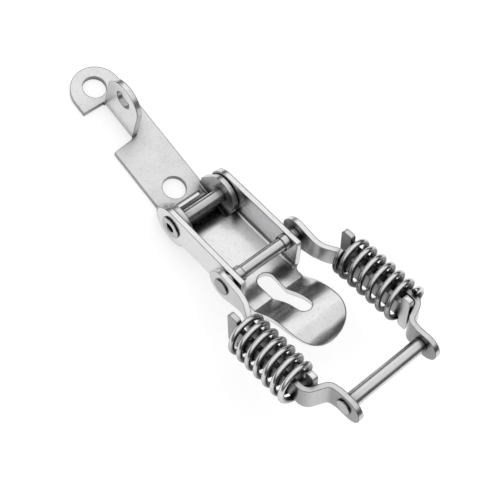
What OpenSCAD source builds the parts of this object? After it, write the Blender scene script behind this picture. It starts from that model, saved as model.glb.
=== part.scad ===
// Over centre toggle latch in plated sheet steel, with a sprung claw and a padlock tongue.
// Origin: midway between the two screw holes, on the underside of the base plate.
// +X runs towards the claw, +Z away from the surface that the latch is screwed to.

/* [Base plate] */
// Thickness of the base's sheet steel
base_t = 1.3; // [1:0.1:1.6]
// Width of the flat plate
plate_w = 12; // [11:0.5:12.5]
// Distance between the two screw holes
screw_pitch = 30; // [28:0.5:36]
// Diameter of each screw hole
screw_hole_d = 5.5; // [4:0.1:6]
// Distance from the rear screw hole to the rounded rear end
rear_tail = 5.2; // [4.5:0.1:8]
// Width over the two ears that carry the lever
ears_w = 13.8; // [13:0.1:14]
// Radius of the ears' round tops about the pivot
ear_r = 4.4; // [4:0.1:4.6]
// Distance from the pivot back to the ears' rear edge
ear_back = 6.1; // [5.6:0.1:7]
// Height of the ears' upright rear edge
ear_rear_h = 3.8; // [3:0.1:6]
// Outside radius of the bend between floor and ear
ear_bend_r = 1.7; // [1.65:0.05:2.4]
// Width of the window in the floor between the ears
window_w = 8.6; // [8.4:0.1:9]
// Distance from the pivot back to the window's rear edge
window_back = 4.7; // [4:0.1:5]

/* [Padlock tongue] */
// Width of the upright tongue
tongue_w = 10.4; // [9:0.1:10.6]
// Height of the tongue's top above the mounting surface
tongue_h = 15.2; // [13.5:0.1:15.6]
// Distance from the front screw hole back to the tongue's middle
tongue_back = 20.3; // [19.5:0.1:20.6]
// Distance from the middle of the plate to the tongue's notch side
tongue_side = 0.5; // [0.3:0.05:0.7]
// Outside radius of the bend at the tongue's foot
tongue_bend_r = 1.6; // [1.6:0.1:2.2]
// Diameter of the padlock hole
lock_hole_d = 4.4; // [3:0.1:5]
// Height of the padlock hole's centre
lock_hole_h = 10.9; // [10:0.1:11.2]
// Length of the notch in the plate beside the tongue
notch_len = 11; // [10.8:0.1:12]
// Distance by which the notch's front edge slants forward at the plate's side
notch_slant = 0.6; // [0:0.1:1]

/* [Lever] */
// Distance from the front screw hole forward to the lever's pivot
pivot_ahead = 8.3; // [7.8:0.1:9]
// Height of the pivot above the mounting surface
pivot_h = 6.4; // [6.3:0.1:7]
// Angle by which the open lever rises from the plate
lever_rise = 16; // [12:0.5:20]
// Thickness of the lever's sheet steel
lever_t = 1.3; // [1:0.1:1.5]
// Width over the lever's flanges
lever_w = 16.8; // [16.7:0.1:17.2]
// Distance from the pivot up to the flanges' free edges
flange_up = 4.9; // [4.6:0.1:5]
// Distance from the pivot down to the web's outer face
web_down = 4.65; // [4.65:0.05:4.9]
// Outside radius of the bends between web and flanges
channel_bend_r = 2; // [1.7:0.1:2.6]
// Distance from the pivot to the front ends of the flanges
flange_len = 23; // [22:0.1:24]
// Radius of the flanges' upper front corners
flange_corner_r = 0.5; // [0.2:0.1:1.5]
// Radius of the flanges' round ends at the pivot
lobe_r = 4.95; // [4.6:0.05:5.2]
// Width of the curled tab that runs under the pivot
curl_w = 8.3; // [6:0.1:8.4]
// Angle that the curled tab covers past the bottom
curl_turn = 62; // [30:1:80]
// Distance from the pivot to the crease where the ramp starts
ramp_start = 26; // [25.5:0.1:27]
// Slope of the ramp
ramp_angle = 40; // [36:1:42]
// Length of the ramp's straight part, seen from above
ramp_run = 3; // [2:0.1:4]
// Radius of the bend from the ramp onto the finger tab
crest_r = 12.4; // [11:0.1:13]
// Radius of the finger tab's curled lip
lip_r = 5.7; // [5:0.1:6.5]
// Angle through which the lip curls
lip_turn = 66; // [50:1:80]
// Width of the finger tab
tab_w = 13.8; // [12.5:0.1:14.2]
// Length of the rounding at the finger tab's end, seen square to the lip
tab_round = 7.5; // [6.5:0.1:8.5]
// Distance from the pivot to the rear end of the slot
slot_start = 19.9; // [19:0.1:20.3]
// Distance from the pivot to the front end of the slot
slot_end = 34.9; // [34.7:0.1:36]
// Width of the slot at its rear end
slot_w = 4; // [3.6:0.1:5]
// Width of the slot at its front end
slot_front_w = 3.4; // [3:0.1:4]

/* [Rivets and claw bar] */
// Diameter of the lever pivot's barrel
pivot_d = 3.2; // [2.8:0.1:3.6]
// Diameter of the lever pivot's bore
pivot_bore_d = 2.3; // [1.6:0.1:2.4]
// Diameter of the lever pivot's rolled rims
rim_d = 5.4; // [4.6:0.1:5.8]
// Thickness of the lever pivot's rolled rims
rim_t = 0.42; // [0.3:0.02:0.5]
// Diameter of the arm pivot's barrel
arm_pin_d = 3; // [2.6:0.1:3.2]
// Diameter of the arm pivot's shoulder between flange and strap
shoulder_d = 3.8; // [3.6:0.1:4.4]
// Diameter of the collar inside the flange
collar_d = 3.6; // [3.4:0.1:4]
// Length of the collar inside the flange
collar_len = 1.5; // [1:0.1:2.5]
// Diameter of the arm pivot's riveted heads
arm_head_d = 3.9; // [3.6:0.1:5]
// Height of the arm pivot's riveted heads
arm_head_t = 0.3; // [0.2:0.05:0.8]
// Distance from the lever pivot forward to the arm pivot, along the lever
arm_pin_ahead = 19.75; // [19:0.05:20.5]
// Distance from the lever's middle line up to the arm pivot
arm_pin_up = 2.95; // [1.5:0.05:3]
// Diameter of the claw bar
bar_d = 3.2; // [2.8:0.1:4]
// Diameter of the claw bar's tenons in the straps
tenon_d = 2.6; // [2:0.1:2.7]
// Diameter of the claw bar's riveted ends
bar_head_d = 3.4; // [2.9:0.1:3.6]
// Height of the claw bar's riveted ends
bar_head_t = 0.35; // [0.2:0.05:0.8]

/* [Straps] */
// Thickness of the straps' sheet steel
strap_t = 1.2; // [1:0.05:1.3]
// Angle by which the arms rise from the plate
arm_rise = 20; // [16:0.5:24]
// Distance from the arm pivot to the claw bar
arm_len = 36.45; // [36:0.05:40]
// Distance between the inner faces of the two rear eyes
rear_gap = 19.3; // [19:0.1:19.5]
// Distance between the inner faces of the two front eyes
front_gap = 19.8; // [19:0.1:20.6]
// Height of the straps where they run inside the springs
strap_h = 4.7; // [4:0.1:4.8]
// Extra height of the front strap on each side, from just inside the spring's front end on
strap_widening = 0.5; // [0.3:0.05:0.6]
// Distance from a spring's axis inward to the middle of the rear strap
inner_off = 1.5; // [1.3:0.05:1.6]
// Distance from a spring's axis outward to the middle of the front strap
outer_off = 1.1; // [0.9:0.05:1.2]
// Radius of the rear strap's eye
rear_eye_r = 3.8; // [3:0.1:4]
// Radius of the front strap's round end
front_eye_r = 3.05; // [2.8:0.05:3.4]
// Distance from the claw bar forward to the centre of that round end
front_eye_ahead = 0.95; // [0:0.05:1.5]
// Distance from the arm pivot to the rear strap's joggle
joggle_start = 6.7; // [6:0.1:7]
// Angle of the rear strap's joggle
joggle_angle = 30; // [28:1:34]
// Distance in front of the spring at which the front strap turns inward
turn_run = 2.3; // [2.1:0.05:2.6]
// Radius of that turn, at the middle of the sheet
turn_r = 2.3; // [2:0.1:2.5]
// Length of the front strap's step inward
step_run = 1.95; // [1.8:0.05:2.3]
// Radius of the bend at the step's inner end, at the middle of the sheet
step_r = 1.8; // [1.4:0.1:2]
// Distance that is left between the step and the line of the front eye
step_left = 0.45; // [0.35:0.05:0.6]
// Length over which the front strap runs on to the line of the front eye
settle_run = 2.5; // [2.3:0.1:3.2]
// Height of the cross ends that hold the springs
cross_h = 9.8; // [9.4:0.1:11]
// Length of the front straps' cross ends, behind the springs
rear_cross_len = 2.9; // [2.4:0.1:3.1]
// Length of the rear straps' cross ends, in front of the springs
front_cross_len = 2.3; // [1.9:0.05:2.4]
// Corner radius of the cross ends
cross_corner_r = 0.8; // [0.2:0.1:0.9]

/* [Springs] */
// Outer diameter of each spring
spring_od = 9.7; // [9.3:0.05:9.8]
// Diameter of the spring wire
wire_d = 1.3; // [1.1:0.05:1.35]
// Number of turns
spring_turns = 6.875; // [6:0.125:8]
// Distance from the arm pivot to the springs' rear ends
spring_start = 11.3; // [11.1:0.05:11.5]
// Length of each spring
spring_len = 16.7; // [16.3:0.1:17]
// Distance by which the left spring's last half turn runs past its seat
spring_past = 1.25; // [1:0.05:1.4]
// Distance from the latch's middle plane to each spring's axis
spring_side = 14.5; // [14.4:0.05:15]

/* [Clearances] */
// Radial clearance of a turning pin
running_gap = 0.05; // [0.03:0.01:0.1]
// Radial clearance of a riveted pin in the piece that holds it
fixed_gap = 0.02; // [0.01:0.01:0.03]
// Gap between the open lever's web and the ears that stop it
stop_gap = 0.08; // [0.05:0.01:0.15]
// Gap between a spring's end and the cross end that it pushes on
seat_gap = 0.1; // [0.05:0.05:0.2]
// Side clearance of a rivet's rim, head or shoulder
face_gap = 0.05; // [0.03:0.01:0.1]

/* [Hidden] */
$fn = 64;
bend_steps = 8;
wire_sides = 10;
rings_per_turn = 24;
overlap = 0.01;
far = 80;

front_hole_x = screw_pitch / 2;
pivot_x = front_hole_x + pivot_ahead;
rear_end_x = -screw_pitch / 2 - rear_tail;
tongue_x = front_hole_x - tongue_back;
tongue_top_r = tongue_w / 2;

lever_inner = lever_w / 2 - lever_t;
web_top = lever_t - web_down;
web_start = (ear_r + stop_gap + web_top * sin(lever_rise)) / cos(lever_rise);
ramp_top = [ramp_start + ramp_run, web_top + ramp_run * tan(ramp_angle)];
crest_centre = ramp_top + crest_r * [sin(ramp_angle), -cos(ramp_angle)];
lip_centre = crest_centre + [0, crest_r - lip_r];
tab_end = lip_centre + lip_r * [sin(lip_turn), cos(lip_turn)];

rear_eye_y = (rear_gap + strap_t) / 2;
front_eye_y = (front_gap + strap_t) / 2;
inner_run_y = spring_side - inner_off;
outer_run_y = spring_side + outer_off;
joggle_end = joggle_start + (inner_run_y - rear_eye_y) / tan(joggle_angle);
spring_end = spring_start + spring_len;
rear_cross = spring_start - seat_gap;
front_cross = spring_end + seat_gap;
helix_r = (spring_od - wire_d) / 2;
front_end = arm_len + front_eye_ahead;
closed_pitch = wire_d + 0.05;
widening_run = 1.5;
seat_from_wide = 0.5;

// Points of an arc about a centre, from one angle to another
function arc(centre, r, from, to, steps = bend_steps) =
    [for (i = [0 : steps]) let (a = from + (to - from) * i / steps) centre + r * [cos(a), sin(a)]];

function unit(v) = v / norm(v);
function left_of(v) = [-v[1], v[0]];
function last(list) = list[len(list) - 1];
function backwards(list) = [for (i = [len(list) - 1 : -1 : 0]) list[i]];

// Arc that rounds the corner at b on the way from a to c
function rounded_corner(a, b, c, r) =
    let (come = unit(b - a),
         go = unit(c - b),
         turn = atan2(cross(come, go), come * go),
         hand = turn < 0 ? -1 : 1,
         start = b - come * r * tan(abs(turn) / 2),
         centre = start + hand * r * left_of(come),
         first = atan2(start[1] - centre[1], start[0] - centre[0]))
    arc(centre, r, first, first + turn);

// Route through corner points, each inner corner rounded with its own radius
function route(corners, radii) =
    [corners[0],
     for (i = [1 : len(corners) - 2])
        each rounded_corner(corners[i - 1], corners[i], corners[i + 1], radii[i - 1]),
     last(corners)];

// Route moved sideways by a distance, to its left where the distance is positive
function beside(path, distance) =
    [for (i = [0 : len(path) - 1])
        let (come = unit(path[max(i, 1)] - path[max(i, 1) - 1]),
             next = min(i, len(path) - 2),
             go = unit(path[next + 1] - path[next]),
             middle = unit(come + go))
        path[i] + left_of(middle) * distance / (come * middle)];

// Outline of a bent sheet of one thickness along a route
function bent_sheet(path, t) = concat(beside(path, t / 2), backwards(beside(path, -t / 2)));

// Outline of a U section: outer half width, height, thickness and outer bend radius
function channel_section(half_w, h, t, r) =
    concat([[half_w, h]],
           arc([half_w - r, r], r, 0, -90),
           arc([r - half_w, r], r, -90, -180),
           [[-half_w, h], [t - half_w, h]],
           arc([r - half_w, r], r - t, 180, 270),
           arc([half_w - r, r], r - t, 270, 360),
           [[half_w - t, h]]);

// Two discs on a line and the straight sides that join them
module link_outline(x1, r1, x2, r2) {
    lean = asin((r1 - r2) / (x2 - x1));
    side = [sin(lean), cos(lean)];
    flip = [side[0], -side[1]];
    translate([x1, 0]) circle(r1);
    translate([x2, 0]) circle(r2);
    polygon([[x1, 0] + r1 * side, [x2, 0] + r2 * side, [x2, 0] + r2 * flip, [x1, 0] + r1 * flip]);
}

// Outline of a cross end, from its lower rear corner round to its upper rear corner
function cross_front(x, length) =
    concat(arc([x + cross_corner_r, cross_corner_r - cross_h / 2], cross_corner_r, 180, 270),
           arc([x + length - cross_corner_r, cross_corner_r - cross_h / 2], cross_corner_r, 270, 360),
           arc([x + length - cross_corner_r, cross_h / 2 - cross_corner_r], cross_corner_r, 0, 90),
           arc([x + cross_corner_r, cross_h / 2 - cross_corner_r], cross_corner_r, 90, 180));

// The same outline turned to face backwards, ending at a station
function cross_rear(x, length) = [for (p = cross_front(-x, length)) -p];

// Side outline of the rear strap, from its eye to its cross end
function rear_outline() =
    let (lean = asin((rear_eye_r - strap_h / 2) / joggle_start))
    concat(arc([0, 0], rear_eye_r, 90 - lean, 270 + lean, 3 * bend_steps),
           [[joggle_start, -strap_h / 2], [front_cross, -strap_h / 2]],
           cross_front(front_cross, front_cross_len),
           [[front_cross, strap_h / 2], [joggle_start, strap_h / 2]]);

// Side outline of the front strap, from its cross end to its round end
function front_outline(wide_from) =
    let (wide_h = strap_h / 2 + strap_widening,
         lean = asin((front_eye_r - wide_h) / (front_end - wide_from)))
    concat(cross_rear(rear_cross, rear_cross_len),
           [[rear_cross, -strap_h / 2], [wide_from - widening_run, -strap_h / 2], [wide_from, -wide_h]],
           arc([front_end, 0], front_eye_r, -90 - lean, 90 + lean, 3 * bend_steps),
           [[wide_from, wide_h], [wide_from - widening_run, strap_h / 2], [rear_cross, strap_h / 2]]);

// Extrudes a side view, drawn in X and Z, evenly to both sides of the middle plane
module across(width) rotate([90, 0, 0]) linear_extrude(width, center = true) children();

// Extrudes a section, drawn in Y and Z, along X from one station to another
module along(from, to)
    translate([from, 0, 0]) rotate([90, 0, 90]) linear_extrude(to - from) children();

module rod(d, from, to) translate([0, to, 0]) rotate([90, 0, 0]) cylinder(d = d, h = to - from);

// A child and its mirror image on the other side of the middle plane
module both_sides() {
    children();
    mirror([0, 1, 0]) children();
}

module at_pivot() translate([pivot_x, 0, pivot_h]) children();
module at_lever() at_pivot() rotate([0, -lever_rise, 0]) children();
module at_arm_pin()
    at_lever() translate([arm_pin_ahead, 0, arm_pin_up]) rotate([0, lever_rise - arm_rise, 0]) children();

module plate_outline() {
    translate([rear_end_x + plate_w / 2, 0]) circle(d = plate_w);
    translate([rear_end_x + plate_w / 2, -plate_w / 2])
        square([pivot_x - ear_back - rear_end_x - plate_w / 2 + overlap, plate_w]);
}

// Side view of an ear, measured from the pivot: a round top on an upright foot
module ear_outline() {
    rear = [-ear_back, ear_rear_h - pivot_h];
    reach = norm(rear);
    touch = atan2(rear[1], rear[0]) - acos(ear_r / reach);
    circle(ear_r);
    polygon([[0, 0], ear_r * [cos(touch), sin(touch)], rear,
             [-ear_back, -pivot_h], [ear_r, -pivot_h], [ear_r, 0]]);
}

module ears() {
    at_pivot() intersection() {
        across(ears_w + 1) ear_outline();
        along(-ear_back - 1, ear_r + 1) translate([0, -pivot_h])
            polygon(channel_section(ears_w / 2, pivot_h + ear_r + 1, base_t, ear_bend_r));
    }
}

// Notch that the tongue was cut from, with the width of its bend between the plate's sides
module notch_outline() {
    polygon([[-notch_len / 2, -tongue_side], [-notch_len / 2, -plate_w],
             [notch_len / 2 + 2 * notch_slant, -plate_w], [notch_len / 2, -tongue_side]]);
    translate([-tongue_w / 2, -tongue_side - overlap])
        square([tongue_w, tongue_bend_r + overlap]);
}

// Section of the tongue and its foot, drawn in Y and Z
module tongue_section() {
    polygon(concat([[-tongue_side, tongue_h]],
                   arc([tongue_bend_r - tongue_side, tongue_bend_r], tongue_bend_r, 180, 270),
                   [[plate_w / 2 - 1, 0], [plate_w / 2 - 1, base_t]],
                   arc([tongue_bend_r - tongue_side, tongue_bend_r], tongue_bend_r - base_t, 270, 180),
                   [[base_t - tongue_side, tongue_h]]));
}

module tongue() {
    intersection() {
        along(tongue_x - tongue_w / 2, tongue_x + tongue_w / 2) tongue_section();
        union() {
            translate([tongue_x, 0, tongue_h - tongue_top_r]) across(plate_w) circle(tongue_top_r);
            translate([tongue_x - far / 2, -plate_w / 2, 0])
                cube([far, plate_w, tongue_h - tongue_top_r]);
        }
    }
}

module base_plate() color("gainsboro") difference() {
    union() {
        difference() {
            linear_extrude(base_t) plate_outline();
            translate([tongue_x, 0, -1]) linear_extrude(base_t + 2) notch_outline();
        }
        tongue();
        ears();
    }
    for (x = [-front_hole_x, front_hole_x])
        translate([x, 0, -1]) cylinder(d = screw_hole_d, h = base_t + 2);
    translate([pivot_x - window_back, -window_w / 2, -1])
        cube([window_back + ear_r + 1, window_w, base_t + ear_bend_r + 1]);
    at_pivot() rod(pivot_d + 2 * fixed_gap, -far / 2, far / 2);
    translate([tongue_x, 0, lock_hole_h]) rod(lock_hole_d, -plate_w / 2, plate_w / 2);
}

module lever() color("gainsboro") at_lever() difference() {
    union() {
        both_sides() flange();
        channel();
        curled_tab();
        finger_tab();
    }
    rod(pivot_d + 2 * running_gap, -far / 2, far / 2);
    translate([arm_pin_ahead, 0, arm_pin_up]) rod(arm_pin_d + 2 * running_gap, -far / 2, far / 2);
    translate([0, 0, -far / 2]) linear_extrude(far)
        link_outline(slot_start + slot_w / 2, slot_w / 2,
                     slot_end - slot_front_w / 2, slot_front_w / 2);
}

// Flat side of the lever above its bend, with a round end at the pivot
module flange() translate([0, (lever_inner + lever_w / 2) / 2, 0]) across(lever_t) {
    low = channel_bend_r - web_down;
    circle(lobe_r);
    polygon(concat([[0, low], [flange_len, low]],
                   arc([flange_len, flange_up] - flange_corner_r * [1, 1], flange_corner_r, 0, 90, 4),
                   [[0, flange_up]]));
}

// Web and bends, cut back to a flat strip in front of the flanges
module channel() {
    corner_r = (lever_w - tab_w) / 2;
    intersection() {
        along(web_start, ramp_start) translate([0, -web_down])
            polygon(channel_section(lever_w / 2, channel_bend_r + overlap, lever_t, channel_bend_r));
        across(lever_w + 1) polygon([[0, -far], [far, -far], [far, web_top], [flange_len, web_top],
                                     [flange_len, 0], [0, 0]]);
        translate([0, 0, -far / 2]) linear_extrude(far)
            polygon(concat([[0, -far], [flange_len, -far]],
                           [[flange_len, -lever_w / 2]],
                           arc([flange_len + corner_r, -lever_w / 2], corner_r, 180, 90),
                           [[far, -tab_w / 2], [far, tab_w / 2]],
                           arc([flange_len + corner_r, lever_w / 2], corner_r, 270, 180),
                           [[flange_len, far], [0, far]]));
    }
}

// Tab that runs back from the web and curls round under the pivot
module curled_tab() {
    across(curl_w) polygon(concat([[web_start + 1, web_top]],
                                  arc([0, 0], -web_top, 270, 270 - curl_turn, 2 * bend_steps),
                                  arc([0, 0], web_down, 270 - curl_turn, 270, 2 * bend_steps),
                                  [[web_start + 1, -web_down]]));
}

// Ramp, finger tab and curled lip, seen from the side
module tab_profile() {
    polygon(concat([[flange_len, web_top], [ramp_start, web_top]],
                   arc(crest_centre, crest_r, 90 + ramp_angle, 90),
                   arc(lip_centre, lip_r, 90, 90 - lip_turn),
                   arc(lip_centre, lip_r - lever_t, 90 - lip_turn, 90),
                   arc(crest_centre, crest_r - lever_t, 90, 90 + ramp_angle),
                   arc([ramp_start, web_top], lever_t, ramp_angle - 90, -90),
                   [[flange_len, -web_down]]));
}

module finger_tab() {
    tip = [for (a = [-90 : 90 / (2 * bend_steps) : 90])
               [tab_round * (cos(a) - 1), tab_w / 2 * sin(a)]];
    intersection() {
        across(tab_w) tab_profile();
        translate([tab_end[0], 0, tab_end[1]]) rotate([0, lip_turn / 2, 0])
            translate([0, 0, -far / 2]) linear_extrude(far)
                polygon(concat([[-far, tab_w / 2], [-far, -tab_w / 2]], tip));
    }
}

// Tubular rivet: a thin barrel with a rolled rim at each end
module lever_pivot() color("silver") at_pivot() rotate([90, 0, 0]) rotate_extrude() {
    seat = lever_w / 2 + face_gap;
    mouth_r = (pivot_d + pivot_bore_d) / 4;
    end = seat + rim_t;
    half = concat([[pivot_d / 2, seat]],
                  arc([(rim_d - rim_t) / 2, seat + rim_t / 2], rim_t / 2, -90, 90, 6),
                  [[mouth_r, end], [pivot_bore_d / 2, end + pivot_bore_d / 2 - mouth_r]]);
    polygon(concat(half, backwards([for (p = half) [p[0], -p[1]]])));
}

module both_ends() {
    children();
    mirror([0, 1]) children();
}

// Solid rivet with a collar inside each flange, a shoulder outside it and a flat head
module arm_pivot() color("silver") at_arm_pin() rotate([90, 0, 0]) rotate_extrude() {
    collar_out = lever_inner - face_gap;
    shoulder_in = lever_w / 2 + face_gap;
    shoulder_out = rear_gap / 2 - face_gap;
    head_in = rear_gap / 2 + strap_t + face_gap;
    both_ends() {
        translate([0, -overlap]) square([arm_pin_d / 2, head_in + arm_head_t + overlap]);
        translate([0, collar_out - collar_len]) square([collar_d / 2, collar_len]);
        translate([0, shoulder_in]) square([shoulder_d / 2, shoulder_out - shoulder_in]);
        translate([0, head_in]) square([arm_head_d / 2, arm_head_t]);
    }
}

// Round bar with a thinner tenon and a riveted end in each front strap
module claw_bar() color("silver") at_arm_pin() translate([arm_len, 0, 0])
    rotate([90, 0, 0]) rotate_extrude() {
        body_end = front_gap / 2 - face_gap;
        head_in = front_gap / 2 + strap_t + face_gap;
        both_ends() {
            translate([0, -overlap]) square([bar_d / 2, body_end + overlap]);
            square([tenon_d / 2, head_in + bar_head_t]);
            translate([0, head_in]) square([bar_head_d / 2, bar_head_t]);
        }
    }

// Strap with an eye on the arm pivot, joggled out into the spring, with a cross end in front
module rear_strap() difference() {
    intersection() {
        translate([0, 0, -cross_h]) linear_extrude(2 * cross_h)
            polygon(bent_sheet(route([[-rear_eye_r - 1, rear_eye_y], [joggle_start, rear_eye_y],
                                      [joggle_end, inner_run_y],
                                      [front_cross + front_cross_len, inner_run_y]], [8, 3]), strap_t));
        across(far) polygon(rear_outline());
    }
    rod(arm_pin_d + 2 * fixed_gap, 0, far);
}

// Strap with a cross end behind the spring, stepped in to the claw bar in front of it
module front_strap() difference() {
    turn = [spring_end + turn_run, outer_run_y];
    step = [turn[0] + step_run, front_eye_y + step_left];
    intersection() {
        translate([0, 0, -cross_h]) linear_extrude(2 * cross_h)
            polygon(bent_sheet(route([[rear_cross - rear_cross_len, outer_run_y], turn, step,
                                      [step[0] + settle_run, front_eye_y],
                                      [front_end + front_eye_r + 1, front_eye_y]],
                                     [turn_r, step_r, 3]), strap_t));
        across(far) polygon(front_outline(spring_end - seat_from_wide));
    }
    translate([arm_len, 0, 0]) rod(tenon_d + 2 * fixed_gap, 0, far);
}

module rear_strap_left() color("silver") at_arm_pin() rear_strap();
module rear_strap_right() color("silver") at_arm_pin() mirror([0, 1, 0]) rear_strap();
module front_strap_left() color("silver") at_arm_pin() front_strap();
module front_strap_right() color("silver") at_arm_pin() mirror([0, 1, 0]) front_strap();

// Round wire swept along a right-hand helix about X from one phase. The wire meets the rear
// seat after seat_turn turns, is closed over a share of a turn at each end, and its last
// half turn may run past the front seat.
module spring(phase, seat_turn, rear_closed, front_closed, past) {
    first = wire_d / 2 - closed_pitch * seat_turn;
    last = spring_len - wire_d / 2 + past;
    open_turns = spring_turns - rear_closed - front_closed;
    open_pitch = (last - first - closed_pitch * (rear_closed + front_closed)) / open_turns;
    function station(turn) = first + closed_pitch * min(turn, rear_closed)
        + open_pitch * min(max(turn - rear_closed, 0), open_turns)
        + closed_pitch * max(turn - rear_closed - open_turns, 0);
    rings = spring_turns * rings_per_turn;
    points = [for (i = [0 : rings], j = [0 : wire_sides - 1])
        let (a = phase + 360 * i / rings_per_turn,
             b = 360 * j / wire_sides,
             out = helix_r + wire_d / 2 * cos(b))
        [station(i / rings_per_turn) + wire_d / 2 * sin(b), out * cos(a), out * sin(a)]];
    sides = [for (i = [0 : rings - 1], j = [0 : wire_sides - 1])
        let (k = i * wire_sides, n = (j + 1) % wire_sides)
        [k + j, k + n, k + wire_sides + n, k + wire_sides + j]];
    first_cap = [[for (j = [wire_sides - 1 : -1 : 0]) j]];
    last_cap = [[for (j = [0 : wire_sides - 1]) rings * wire_sides + j]];
    polyhedron(points, concat(sides, first_cap, last_cap), convexity = 10);
}

module spring_left() color("dimgray") at_arm_pin()
    translate([spring_start, spring_side, 0]) spring(120, 0.43, 0.95, 0, spring_past);
module spring_right() color("dimgray") at_arm_pin()
    translate([spring_start, -spring_side, 0]) spring(350, 0.3, 0.5, 0.55, 0);

base_plate();
lever();
lever_pivot();
arm_pivot();
rear_strap_left();
rear_strap_right();
front_strap_left();
front_strap_right();
spring_left();
spring_right();
claw_bar();
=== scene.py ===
"""Over centre toggle latch in plated steel: finishes, springs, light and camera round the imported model."""

import math

import bpy
from mathutils import Matrix, Vector


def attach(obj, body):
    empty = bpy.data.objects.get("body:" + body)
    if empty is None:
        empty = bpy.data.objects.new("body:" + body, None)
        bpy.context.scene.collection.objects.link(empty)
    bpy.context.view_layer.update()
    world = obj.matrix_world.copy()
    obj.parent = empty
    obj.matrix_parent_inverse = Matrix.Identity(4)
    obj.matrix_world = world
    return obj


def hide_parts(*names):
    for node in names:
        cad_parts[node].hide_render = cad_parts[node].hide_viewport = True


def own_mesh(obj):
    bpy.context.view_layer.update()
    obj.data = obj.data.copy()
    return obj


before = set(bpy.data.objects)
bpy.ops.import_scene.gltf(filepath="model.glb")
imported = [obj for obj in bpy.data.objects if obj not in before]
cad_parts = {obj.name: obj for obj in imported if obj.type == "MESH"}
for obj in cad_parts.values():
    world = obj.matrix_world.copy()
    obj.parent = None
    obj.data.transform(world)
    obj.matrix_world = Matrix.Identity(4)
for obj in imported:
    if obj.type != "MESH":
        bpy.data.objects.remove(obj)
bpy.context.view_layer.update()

MM = 0.001
WHITE = (1, 1, 1, 1)

# Where the pieces are, in millimetres in the row frame
PIVOT = Vector((23.3, 0, 6.4))
LEVER_RISE = math.radians(16)
ARM_RISE = math.radians(20)
ARM_PIN_AHEAD = 19.75
ARM_PIN_UP = 2.95

# Springs, in millimetres
SPRING_START = 11.3
SPRING_LENGTH = 16.7
SPRING_PAST = 1.25
SPRING_SIDE = 14.5
SPRING_OD = 9.7
SPRING_TURNS = 6.875
WIRE_D = 1.3
CLOSED_PITCH = WIRE_D + 0.05
PITCH_BLEND = 0.14
WIRE_SIDES = 20
STEPS_PER_TURN = 72

# Camera, as solved from the photograph: place in millimetres, directions of its right and up
CAMERA_PLACE = Vector((71.887, -87.416, 220.251))
CAMERA_RIGHT = Vector((0.61862, 0.75485, 0.21799))
CAMERA_UP = Vector((-0.77176, 0.53176, 0.34874))
FOCAL_PIXELS = 1077.2
FRAME_PIXELS = 500
SENSOR_MM = 36

# Edges sharper than this are kept sharp
SHARP_EDGE = math.radians(32)

# Floor: its own grey, the white added where it shows, and its half width in metres
FLOOR_GREY = 0.47
FLOOR_LIFT = 0.68
FLOOR_REACH = 6.0
# A hair below the part, so that the two don't share a plane
FLOOR_HEIGHT = -0.0001

# Dark cards that only reflections see: distance from the part and width, in metres
FLAG_REACH = 0.5
FLAG_WIDTH = 1.0

# World light on the part, and the white that shows
WORLD_LIGHT = 0.75
WORLD_WHITE = 1.0

# Steel's patterns: how often each one changes in a metre, and the drawn grain's stretch along X
GRAIN_SCALE = (60, 2400, 2400)
SOFT_SCALE = 260.0
SPECK_SCALE = 1700.0
SWELL_SCALE = 150.0
# How far the soft blotches change the roughness
GLOSS_CHANGE = 0.20
# Turn of a rounded edge's normal at which its painted shade is darkest, and at which it has none, as cosines
EDGE_SHADE_FULL = 0.80
EDGE_SHADE_NONE = 0.985

# Painted shade round the lever's pivot, on the faces that look towards it, in millimetres: half its width,
# the radius up to which it's thick, the radius where it ends, and how bright the steel is under it
PIVOT_SHADE = (6.6, 4.7, 5.7, 0.34)


def place_camera():
    """Camera at the photograph's place and angle."""
    right = CAMERA_RIGHT.normalized()
    back = right.cross(CAMERA_UP).normalized()
    up = back.cross(right)
    data = bpy.data.cameras.new("camera")
    data.sensor_width = SENSOR_MM
    data.lens = FOCAL_PIXELS / FRAME_PIXELS * SENSOR_MM
    data.clip_start = 0.01
    camera = bpy.data.objects.new("camera", data)
    turn = Matrix((right, up, back)).transposed().to_4x4()
    camera.matrix_world = Matrix.Translation(CAMERA_PLACE * MM) @ turn
    bpy.context.scene.collection.objects.link(camera)
    bpy.context.scene.camera = camera


class Nodes:
    """Short calls that add nodes to a material or world and join them."""

    def __init__(self, tree):
        self.tree = tree
        tree.nodes.clear()

    def add(self, kind, inputs=None, **settings):
        node = self.tree.nodes.new(kind)
        for name, value in settings.items():
            setattr(node, name, value)
        for name, value in (inputs or {}).items():
            socket = node.inputs[name]
            if isinstance(value, bpy.types.NodeSocket):
                self.tree.links.new(value, socket)
            else:
                socket.default_value = value
        return node

    def span(self, value, low, high, start, end):
        """Value from start to end while the input goes from low to high, and held outside them."""
        return self.add("ShaderNodeMapRange", {"Value": value, "From Min": low, "From Max": high,
                                               "To Min": start, "To Max": end}).outputs["Result"]

    def noise(self, place, scale, detail, roughness):
        return self.add("ShaderNodeTexNoise", {"Vector": place, "Scale": scale, "Detail": detail,
                                               "Roughness": roughness}).outputs["Fac"]

    def vector(self, operation, output, **inputs):
        """Vector sum, where a and b are its two vectors and scale its factor."""
        names = {"a": 0, "b": 1, "scale": "Scale"}
        sockets = {names[name]: value for name, value in inputs.items()}
        return self.add("ShaderNodeVectorMath", sockets, operation=operation).outputs[output]

    def math(self, operation, a, b=0.0):
        node = self.add("ShaderNodeMath", operation=operation)
        for socket, value in zip(node.inputs, (a, b)):
            if isinstance(value, bpy.types.NodeSocket):
                self.tree.links.new(value, socket)
            else:
                socket.default_value = value
        return node.outputs["Value"]


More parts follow.
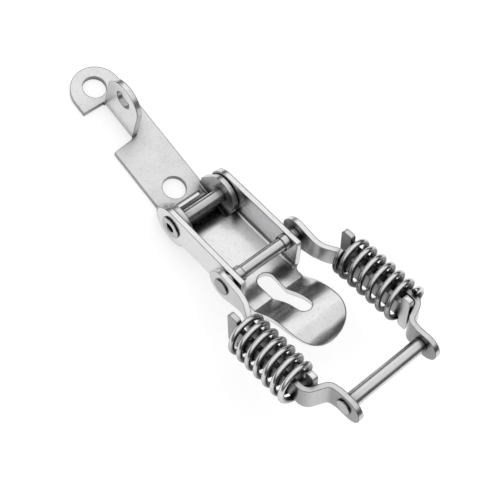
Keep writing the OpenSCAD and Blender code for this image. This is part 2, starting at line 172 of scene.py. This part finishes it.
def steel(name, grey, rough, mottle=0.10, grain=0.03, edge=0.36, edge_shade=0.40, wave=0.10, shade_reach=6.0,
          shade_full=0.16, shade_clear=0.92, shade_bright=0.15, side_shade=0.0, pivot_shade=None):
    """Plated steel: soft blotches, a fine drawn grain and small specks, with painted shade on rounded edges
    and in hollows.

    mottle and grain are the patterns' strengths, edge the radius of the edges in millimetres, edge_shade how
    bright the painted shade on a rounded edge leaves it, and wave how much the sheet is buckled. Painted
    shade darkens the colour where less than shade_clear of the sky within shade_reach is free, is at its
    darkest at shade_full, and leaves the steel as bright as shade_bright. side_shade is painted shade on
    faces that look to the left or right, and pivot_shade is painted shade on the faces round the lever's
    pivot that look towards it.
    """
    material = bpy.data.materials.new(name)
    material.use_nodes = True
    n = Nodes(material.node_tree)
    place = n.add("ShaderNodeTexCoord").outputs["Object"]
    along = n.add("ShaderNodeMapping", {"Vector": place, "Scale": GRAIN_SCALE}).outputs["Vector"]
    fine = n.noise(along, 1.0, 3.0, 0.6)
    soft = n.noise(place, SOFT_SCALE, 4.0, 0.55)
    speck = n.noise(place, SPECK_SCALE, 2.0, 0.6)
    swell = n.noise(place, SWELL_SCALE, 1.0, 0.4)
    pits = n.span(speck, 0.28, 0.42, -mottle * 0.6, 0.0)
    tone = n.math("ADD", n.math("MULTIPLY", soft, mottle * 1.6), n.math("MULTIPLY", fine, grain))
    tone = n.math("ADD", tone, n.math("MULTIPLY", speck, mottle * 0.6))
    tone = n.math("ADD", tone, pits)
    tone = n.math("ADD", tone, grey - mottle * 1.1 - grain * 0.5)
    colour = n.add("ShaderNodeCombineColor", {"Red": tone, "Green": tone,
                                              "Blue": n.math("MULTIPLY", tone, 1.008)}).outputs["Color"]
    gloss = n.math("ADD", rough - GLOSS_CHANGE / 2, n.math("MULTIPLY", soft, GLOSS_CHANGE))
    height = n.math("ADD", n.math("MULTIPLY", fine, 0.35), n.math("MULTIPLY", speck, 0.65))
    rounded = n.add("ShaderNodeBevel", {"Radius": edge * MM}, samples=8).outputs["Normal"]
    buckled = n.add("ShaderNodeBump", {"Height": swell, "Strength": wave, "Distance": 0.002,
                                       "Normal": rounded}).outputs["Normal"]
    relief = n.add("ShaderNodeBump", {"Height": height, "Strength": 0.03, "Distance": 0.0004,
                                      "Normal": buckled}).outputs["Normal"]
    flat = n.add("ShaderNodeNewGeometry").outputs["Normal"]
    # Painted shade: rounded edges darkened to stand for the dark surroundings they reflect
    turned = n.vector("DOT_PRODUCT", "Value", a=rounded, b=flat)
    edge_shading = n.span(turned, EDGE_SHADE_FULL, EDGE_SHADE_NONE, edge_shade, 1.0)
    # Painted shade: colour darkened in hollows, between parts and on undersides, where shade falls
    depth = n.add("ShaderNodeAmbientOcclusion", {"Distance": shade_reach * MM}, samples=6).outputs["AO"]
    shade = n.math("MULTIPLY", n.span(depth, shade_full, shade_clear, shade_bright, 1.0), edge_shading)
    # Painted shade: faces that look to the left or right are darkened
    if side_shade:
        faced = n.add("ShaderNodeTexCoord").outputs["Normal"]
        across = n.add("ShaderNodeSeparateXYZ", {"Vector": faced}).outputs["Y"]
        side_shading = n.math("MULTIPLY", n.math("MULTIPLY", across, across), -side_shade)
        shade = n.math("MULTIPLY", shade, n.math("ADD", side_shading, 1.0))
    # Painted shade on the faces round the lever's pivot that look towards it
    if pivot_shade:
        shade = n.math("MULTIPLY", shade, shade_round_pivot(n, place, *pivot_shade))
    colour = n.vector("SCALE", "Vector", a=colour, scale=shade)
    shader = n.add("ShaderNodeBsdfPrincipled", {"Base Color": colour, "Roughness": gloss,
                                                "Normal": relief, "Metallic": 1.0})
    n.add("ShaderNodeOutputMaterial", {"Surface": shader.outputs["BSDF"]})
    return material


def shade_round_pivot(n, place, half_width, thick, clear, dark):
    """1 where no shade is painted, down to dark on the faces round the lever's pivot that look towards it.
    """
    away = n.vector("SUBTRACT", "Vector", a=place, b=tuple(PIVOT * MM))
    sides = n.add("ShaderNodeSeparateXYZ", {"Vector": away}).outputs
    spoke = n.vector("MULTIPLY", "Vector", a=away, b=(1, 0, 1))
    reach = n.vector("LENGTH", "Value", a=spoke)
    outward = n.vector("NORMALIZE", "Vector", a=spoke)
    faced = n.add("ShaderNodeTexCoord").outputs["Normal"]
    outside = n.span(n.vector("DOT_PRODUCT", "Value", a=faced, b=outward), 0.3, 0.6, 0.0, 1.0)
    ring = n.span(reach, thick * MM, clear * MM, dark, 1.0)
    side = n.span(n.math("ABSOLUTE", sides["Y"]), half_width * MM, (half_width + 0.4) * MM, 0.0, 1.0)
    return n.math("MAXIMUM", n.math("MAXIMUM", ring, side), outside)


def smooth_group():
    """Geometry nodes that shade a welded piece smooth everywhere but across its sharp edges."""
    group = bpy.data.node_groups.new("shade_smooth", "GeometryNodeTree")
    group.interface.new_socket("Geometry", in_out="INPUT", socket_type="NodeSocketGeometry")
    group.interface.new_socket("Geometry", in_out="OUTPUT", socket_type="NodeSocketGeometry")
    come = group.nodes.new("NodeGroupInput")
    plain = group.nodes.new("GeometryNodeRemoveAttribute")
    plain.inputs["Name"].default_value = "custom_normal"
    faces = group.nodes.new("GeometryNodeSetShadeSmooth")
    angle = group.nodes.new("GeometryNodeInputMeshEdgeAngle")
    shallow = group.nodes.new("FunctionNodeCompare")
    shallow.operation = "LESS_THAN"
    shallow.inputs["B"].default_value = SHARP_EDGE
    edges = group.nodes.new("GeometryNodeSetShadeSmooth")
    edges.domain = "EDGE"
    go = group.nodes.new("NodeGroupOutput")
    group.links.new(come.outputs[0], plain.inputs["Geometry"])
    group.links.new(plain.outputs["Geometry"], faces.inputs["Geometry"])
    group.links.new(faces.outputs["Geometry"], edges.inputs["Geometry"])
    group.links.new(angle.outputs["Unsigned Angle"], shallow.inputs["A"])
    group.links.new(shallow.outputs["Result"], edges.inputs["Shade Smooth"])
    group.links.new(edges.outputs["Geometry"], go.inputs[0])
    return group


def dress(node, material):
    """Gives a CAD piece its metal, and shades its bends smooth."""
    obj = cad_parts[node]
    obj.data.materials.clear()
    obj.data.materials.append(material)
    weld = obj.modifiers.new("weld", "WELD")
    weld.merge_threshold = 1e-6
    smooth = obj.modifiers.new("smooth", "NODES")
    smooth.node_group = SMOOTH
    flat = obj.modifiers.new("flat", "DECIMATE")
    flat.decimate_type = "DISSOLVE"
    flat.angle_limit = math.radians(0.3)
    flat.delimit = {"SHARP"}
    even = obj.modifiers.new("normals", "WEIGHTED_NORMAL")
    even.mode = "FACE_AREA"
    even.weight = 50
    even.keep_sharp = True


def arm_matrix():
    """Frame of the arms: origin on the arm pivot's axis, X along the arms, in millimetres."""
    ahead = Vector((math.cos(LEVER_RISE), 0, math.sin(LEVER_RISE)))
    up = Vector((-math.sin(LEVER_RISE), 0, math.cos(LEVER_RISE)))
    pin = PIVOT + ARM_PIN_AHEAD * ahead + ARM_PIN_UP * up
    return Matrix.Translation(pin) @ Matrix.Rotation(-ARM_RISE, 4, "Y")


def spring_stations(seat_turn, rear_closed, front_closed, past):
    """Distances along the spring at each step: closed end turns that blend into open ones."""
    first = WIRE_D / 2 - CLOSED_PITCH * seat_turn
    last = SPRING_LENGTH - WIRE_D / 2 + past
    open_turns = SPRING_TURNS - rear_closed - front_closed
    open_pitch = (last - first - CLOSED_PITCH * (rear_closed + front_closed)) / open_turns

    def station(turn):
        return (first + CLOSED_PITCH * min(turn, rear_closed)
                + open_pitch * min(max(turn - rear_closed, 0), open_turns)
                + CLOSED_PITCH * max(turn - rear_closed - open_turns, 0))

    blend = [PITCH_BLEND * k / 6 for k in range(-6, 7)]
    steps = round(SPRING_TURNS * STEPS_PER_TURN)
    return [sum(station(i / STEPS_PER_TURN + b) for b in blend) / len(blend) for i in range(steps + 1)]


def make_spring(name, side, phase, seat_turn, rear_closed, front_closed, past, material):
    """Round wire swept along a right-hand helix, with closed ends."""
    stations = spring_stations(seat_turn, rear_closed, front_closed, past)
    helix_r = (SPRING_OD - WIRE_D) / 2
    wire_r = WIRE_D / 2
    to_row = arm_matrix() @ Matrix.Translation((SPRING_START, side * SPRING_SIDE, 0))
    points = []
    for i, station in enumerate(stations):
        a = phase + 2 * math.pi * i / STEPS_PER_TURN
        centre = Vector((station, helix_r * math.cos(a), helix_r * math.sin(a)))
        out = Vector((0, math.cos(a), math.sin(a)))
        rise = (stations[min(i + 1, len(stations) - 1)] - stations[max(i - 1, 0)])
        run = helix_r * 2 * math.pi / STEPS_PER_TURN * (2 if 0 < i < len(stations) - 1 else 1)
        along = Vector((rise, -run * math.sin(a), run * math.cos(a))).normalized()
        beside = along.cross(out)
        for j in range(WIRE_SIDES):
            b = 2 * math.pi * j / WIRE_SIDES
            points.append(to_row @ (centre + wire_r * (math.cos(b) * out + math.sin(b) * beside)) * MM)
    rings = len(stations)
    faces = []
    for i in range(rings - 1):
        for j in range(WIRE_SIDES):
            k, n = i * WIRE_SIDES, (j + 1) % WIRE_SIDES
            faces.append((k + j, k + n, k + WIRE_SIDES + n, k + WIRE_SIDES + j))
    faces.append(tuple(range(WIRE_SIDES - 1, -1, -1)))
    faces.append(tuple((rings - 1) * WIRE_SIDES + j for j in range(WIRE_SIDES)))
    mesh = bpy.data.meshes.new(name)
    mesh.from_pydata(points, [], faces)
    mesh.validate()
    for face in mesh.polygons:
        face.use_smooth = len(face.vertices) == 4
    mesh.materials.append(material)
    obj = bpy.data.objects.new(name, mesh)
    bpy.context.scene.collection.objects.link(obj)
    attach(obj, "arms")
    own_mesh(obj)
    return obj


def shown_rays(n):
    """1 for rays that show the surroundings: from the camera, off gloss, or through glass."""
    path = n.add("ShaderNodeLightPath").outputs
    shown = n.math("MAXIMUM", path["Is Camera Ray"], path["Is Glossy Ray"])
    return n.math("MAXIMUM", shown, path["Is Transmission Ray"])


def studio_world():
    """White surroundings that light the part at a plain level."""
    world = bpy.data.worlds.new("studio")
    bpy.context.scene.world = world
    world.use_nodes = True
    world.cycles.sampling_method = "NONE"
    n = Nodes(world.node_tree)
    light = n.add("ShaderNodeBackground", {"Color": WHITE, "Strength": WORLD_LIGHT})
    white = n.add("ShaderNodeBackground", {"Color": WHITE, "Strength": WORLD_WHITE})
    both = n.add("ShaderNodeMixShader", {"Fac": shown_rays(n)})
    n.tree.links.new(light.outputs["Background"], both.inputs[1])
    n.tree.links.new(white.outputs["Background"], both.inputs[2])
    n.add("ShaderNodeOutputWorld", {"Surface": both.outputs["Shader"]})


def area_light(name, place, target, size, radiance, gloss=True):
    """Soft box of an even brightness, where 1 is white."""
    data = bpy.data.lights.new(name, "AREA")
    data.shape = "RECTANGLE"
    data.size, data.size_y = size
    data.energy = radiance * math.pi * size[0] * size[1]
    light = bpy.data.objects.new(name, data)
    light.location = place
    light.visible_glossy = gloss
    light.rotation_euler = (Vector(target) - Vector(place)).to_track_quat("-Z", "Y").to_euler()
    bpy.context.scene.collection.objects.link(light)


def stage_plane(name, corners, material):
    """One square of the surroundings, which isn't a piece of the part."""
    mesh = bpy.data.meshes.new(name)
    mesh.from_pydata(corners, [], [(0, 1, 2, 3)])
    mesh.materials.append(material)
    obj = bpy.data.objects.new(name, mesh)
    bpy.context.scene.collection.objects.link(obj)
    return obj


def floor():
    """Pale floor, lifted to white where the light reaches it, with the part's soft shadow."""
    material = bpy.data.materials.new("floor_white")
    material.use_nodes = True
    n = Nodes(material.node_tree)
    lit = n.add("ShaderNodeBsdfDiffuse", {"Color": (FLOOR_GREY, FLOOR_GREY, FLOOR_GREY, 1)})
    glow = n.add("ShaderNodeEmission", {"Color": WHITE,
                                        "Strength": n.math("MULTIPLY", shown_rays(n), FLOOR_LIFT)})
    both = n.add("ShaderNodeAddShader")
    n.tree.links.new(lit.outputs["BSDF"], both.inputs[0])
    n.tree.links.new(glow.outputs["Emission"], both.inputs[1])
    n.add("ShaderNodeOutputMaterial", {"Surface": both.outputs["Shader"]})
    r = FLOOR_REACH
    stage_plane("floor", [(x, y, FLOOR_HEIGHT) for x, y in ((-r, -r), (r, -r), (r, r), (-r, r))], material)


def flag(name, azimuth, top, soft, grey):
    """Dark card beside the part that only its reflections see, fading out over soft below its top."""
    material = bpy.data.materials.new(name)
    material.use_nodes = True
    n = Nodes(material.node_tree)
    place = n.add("ShaderNodeTexCoord").outputs["Object"]
    height = n.add("ShaderNodeSeparateXYZ", {"Vector": place}).outputs["Z"]
    fade = n.span(height, top - soft, top, 0.0, 1.0)
    card = n.add("ShaderNodeEmission", {"Color": WHITE, "Strength": grey})
    clear = n.add("ShaderNodeBsdfTransparent", {"Color": WHITE})
    both = n.add("ShaderNodeMixShader", {"Fac": fade})
    n.tree.links.new(card.outputs["Emission"], both.inputs[1])
    n.tree.links.new(clear.outputs["BSDF"], both.inputs[2])
    n.add("ShaderNodeOutputMaterial", {"Surface": both.outputs["Shader"]})
    turn = Matrix.Rotation(math.radians(azimuth), 4, "Z")
    half = FLAG_WIDTH / 2
    upright = [(FLAG_REACH, y, z) for y, z in ((-half, 0), (half, 0), (half, top), (-half, top))]
    obj = stage_plane(name, [turn @ Vector(corner) for corner in upright], material)
    obj.visible_camera = False
    obj.visible_diffuse = False
    obj.visible_shadow = False


place_camera()
studio_world()
floor()
flag("flag_front", 0, 0.76, 0.42, 0.10)
flag("flag_left", 90, 0.42, 0.20, 0.06)
flag("flag_rear", 180, 0.32, 0.14, 0.05)
flag("flag_right", 270, 0.39, 0.20, 0.08)
area_light("ceiling", (-0.1, 0.1, 0.9), (0.02, 0, 0), (0.5, 0.5), 1.2, gloss=False)
area_light("soft_box", (-0.49, 0.30, 0.56), (0.03, 0, 0), (0.5, 0.4), 0.2)

SMOOTH = smooth_group()
PLATE = steel("plate_steel", 0.72, 0.31, mottle=0.15, edge_shade=0.24, shade_reach=5.0,
              shade_full=0.44, shade_bright=0.10)
LEVER = steel("lever_steel", 0.72, 0.25, mottle=0.13, edge=0.42, edge_shade=0.24, wave=0.18,
              shade_full=0.18, shade_clear=0.70, shade_bright=0.16, pivot_shade=PIVOT_SHADE)
# The front and rear straps are one steel: the front's darker grey is painted shade, the rear's lighter grey
# painted light
FRONT_STRAP_SHADED = steel("front_strap_shaded_steel", 0.59, 0.28, mottle=0.10, edge_shade=0.30, shade_reach=16.0,
                    shade_full=0.24, shade_bright=0.10, side_shade=0.50)
REAR_STRAP_LIT = steel("rear_strap_lit_steel", 0.78, 0.32, mottle=0.09, shade_reach=9.0,
                   shade_full=0.16, shade_bright=0.14, side_shade=0.22)
RIVET = steel("rivet_steel", 0.66, 0.25, mottle=0.07, wave=0.03, shade_reach=30.0,
              shade_full=0.38, shade_bright=0.08, side_shade=0.30)
# The lever's pivot is the rivets' steel in a darker grey, as painted shade
PIVOT_SHADED = steel("pivot_shaded_steel", 0.58, 0.20, mottle=0.10, wave=0.03, shade_reach=12.0,
               shade_full=0.42, shade_bright=0.06)
# Strong painted shade darkens the wire's sides and leaves only its outer crest bright
WIRE = steel("spring_wire", 0.74, 0.23, mottle=0.08, wave=0.0, shade_reach=45.0,
             shade_full=0.60, shade_bright=0.06)

dress("base_plate", PLATE)
dress("lever", LEVER)
for name in ("rear_strap_left", "rear_strap_right"):
    dress(name, REAR_STRAP_LIT)
for name in ("front_strap_left", "front_strap_right"):
    dress(name, FRONT_STRAP_SHADED)
dress("lever_pivot", PIVOT_SHADED)
for name in ("arm_pivot", "claw_bar"):
    dress(name, RIVET)

LEFT = make_spring("spring_left_wire", 1, math.radians(120), 0.43, 0.95, 0, SPRING_PAST, WIRE)
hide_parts("spring_left")
RIGHT = make_spring("spring_right_wire", -1, math.radians(350), 0.3, 0.5, 0.55, 0, WIRE)
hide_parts("spring_right")

view = bpy.context.scene.view_settings
view.view_transform = "Standard"
